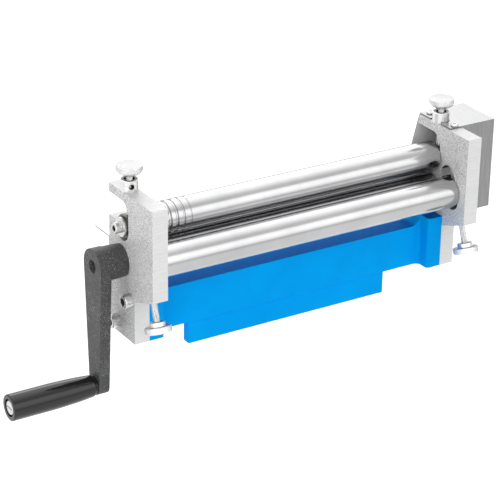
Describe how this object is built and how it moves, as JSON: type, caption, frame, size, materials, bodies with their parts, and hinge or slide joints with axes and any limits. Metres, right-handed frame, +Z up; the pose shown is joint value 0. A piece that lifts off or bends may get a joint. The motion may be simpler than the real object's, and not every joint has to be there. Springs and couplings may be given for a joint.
{
  "type": "slip roll machine",
  "caption": "Hand-cranked slip roll: pinch rollers and a bending roller between side plates on a cast base with a vice tongue, thumb screws, gear cover and crank.",
  "frame": {"origin": "on the foot of the tongue that a bench vice holds, midway between the side plates and below the plane of the two pinch rollers", "axes": "+X along the rollers towards the gear cover, +Y to the rear, where the sheet is fed in, +Z up"},
  "size_m": [0.5034, 0.1135, 0.2177],
  "materials": {
    "plate_steel": "blasted, satin",
    "blue_paint": "smooth gloss paint",
    "bolt_steel": "zinc plated",
    "ground_steel": "ground and polished",
    "bronze": "sintered, oiled",
    "cover_sheet": "satin sheet",
    "tray_sheet": "satin sheet",
    "gear_steel": "machined",
    "crank_iron": "dark grey hammered paint",
    "black_screw": "blackened",
    "grip_plastic": "gloss black",
    "zinc_plate": "bright zinc plated"
  },
  "bodies": {
    "frame": {"left_side_plate": "plate_steel", "right_side_plate": "plate_steel", "base_casting": "blue_paint", "left_plate_bolts": "bolt_steel", "right_plate_bolts": "bolt_steel", "left_drive_bush": "bronze", "right_drive_bush": "bronze", "gear_cover": "cover_sheet", "gear_cover_screws": "bolt_steel", "feed_tray": "tray_sheet", "feed_tray_screws": "bolt_steel"},
    "upper_bearings": {"left_upper_bush": "bronze", "right_upper_bush": "bronze"},
    "upper_roll": {"upper_roller": "ground_steel", "upper_end_washer": "bolt_steel", "upper_end_screw": "bolt_steel", "upper_gear": "gear_steel", "upper_gear_key": "gear_steel", "upper_gear_washer": "bolt_steel", "upper_gear_screw": "bolt_steel"},
    "drive_roll": {"drive_roller": "ground_steel", "drive_gear": "gear_steel", "drive_gear_key": "gear_steel", "drive_gear_washer": "bolt_steel", "drive_gear_screw": "bolt_steel", "crank_washer": "bolt_steel", "crank_arm": "crank_iron", "crank_set_screw": "black_screw", "grip_bolt": "bolt_steel", "grip_washer": "grip_plastic"},
    "grip": {"crank_grip": "grip_plastic"},
    "bending_bearings": {"left_bending_bush": "bronze", "right_bending_bush": "bronze"},
    "bending_roll": {"bending_roller": "ground_steel"},
    "left_top_adjuster": {"left_top_screw": "zinc_plate", "left_top_knob": "zinc_plate"},
    "right_top_adjuster": {"right_top_screw": "zinc_plate", "right_top_knob": "zinc_plate"},
    "left_collar": {"left_lock_collar": "zinc_plate"},
    "right_collar": {"right_lock_collar": "zinc_plate"},
    "left_low_adjuster": {"left_low_screw": "zinc_plate", "left_low_knob": "zinc_plate"},
    "right_low_adjuster": {"right_low_screw": "zinc_plate", "right_low_knob": "zinc_plate"}
  },
  "joints": [
    {"name": "drive_spin", "type": "hinge", "parent": "frame", "child": "drive_roll", "pos_m": [0, 0, 0.098], "axis": [1, 0, 0], "continuous": true},
    {"name": "grip_spin", "type": "hinge", "parent": "drive_roll", "child": "grip", "pos_m": [-0.2484, 0, -0.019], "axis": [1, 0, 0], "continuous": true},
    {"name": "pinch_adjust", "type": "slide", "parent": "frame", "child": "upper_bearings", "axis": [0, 0, 1], "range_m": [-0.0012, 0.0015]},
    {"name": "upper_spin", "type": "hinge", "parent": "upper_bearings", "child": "upper_roll", "pos_m": [0, 0, 0.1295], "axis": [1, 0, 0], "continuous": true},
    {"name": "left_top_screw_turn", "type": "hinge", "parent": "upper_bearings", "child": "left_top_adjuster", "pos_m": [-0.1675, 0, 0.163], "axis": [0, 0, 1], "range_deg": [-440, 550]},
    {"name": "right_top_screw_turn", "type": "hinge", "parent": "upper_bearings", "child": "right_top_adjuster", "pos_m": [0.1675, 0, 0.163], "axis": [0, 0, 1], "range_deg": [-440, 550]},
    {"name": "left_collar_turn", "type": "hinge", "parent": "frame", "child": "left_collar", "pos_m": [-0.1675, 0, 0.163], "axis": [0, 0, 1], "range_deg": [0, 90]},
    {"name": "right_collar_turn", "type": "hinge", "parent": "frame", "child": "right_collar", "pos_m": [0.1675, 0, 0.163], "axis": [0, 0, 1], "range_deg": [0, 90]},
    {"name": "bend_adjust", "type": "slide", "parent": "frame", "child": "bending_bearings", "axis": [0, 0.342, 0.9397], "range_m": [-0.006, 0.011]},
    {"name": "bending_spin", "type": "hinge", "parent": "bending_bearings", "child": "bending_roll", "pos_m": [0, -0.0305, 0.1035], "axis": [1, 0, 0], "continuous": true},
    {"name": "left_low_screw_turn", "type": "hinge", "parent": "bending_bearings", "child": "left_low_adjuster", "pos_m": [-0.1675, -0.0305, 0.1035], "axis": [0, 0.342, 0.9397], "range_deg": [-2200, 4000]},
    {"name": "right_low_screw_turn", "type": "hinge", "parent": "bending_bearings", "child": "right_low_adjuster", "pos_m": [0.1675, -0.0305, 0.1035], "axis": [0, 0.342, 0.9397], "range_deg": [-2200, 4000]}
  ],
  "couplings": [
    {"joint": "upper_spin", "follows": "drive_spin", "ratio": -1},
    {"joint": "left_top_screw_turn", "follows": "pinch_adjust", "rad_per_m": 6283.2},
    {"joint": "right_top_screw_turn", "follows": "pinch_adjust", "rad_per_m": 6283.2},
    {"joint": "left_low_screw_turn", "follows": "bend_adjust", "rad_per_m": 6283.2},
    {"joint": "right_low_screw_turn", "follows": "bend_adjust", "rad_per_m": 6283.2}
  ]
}
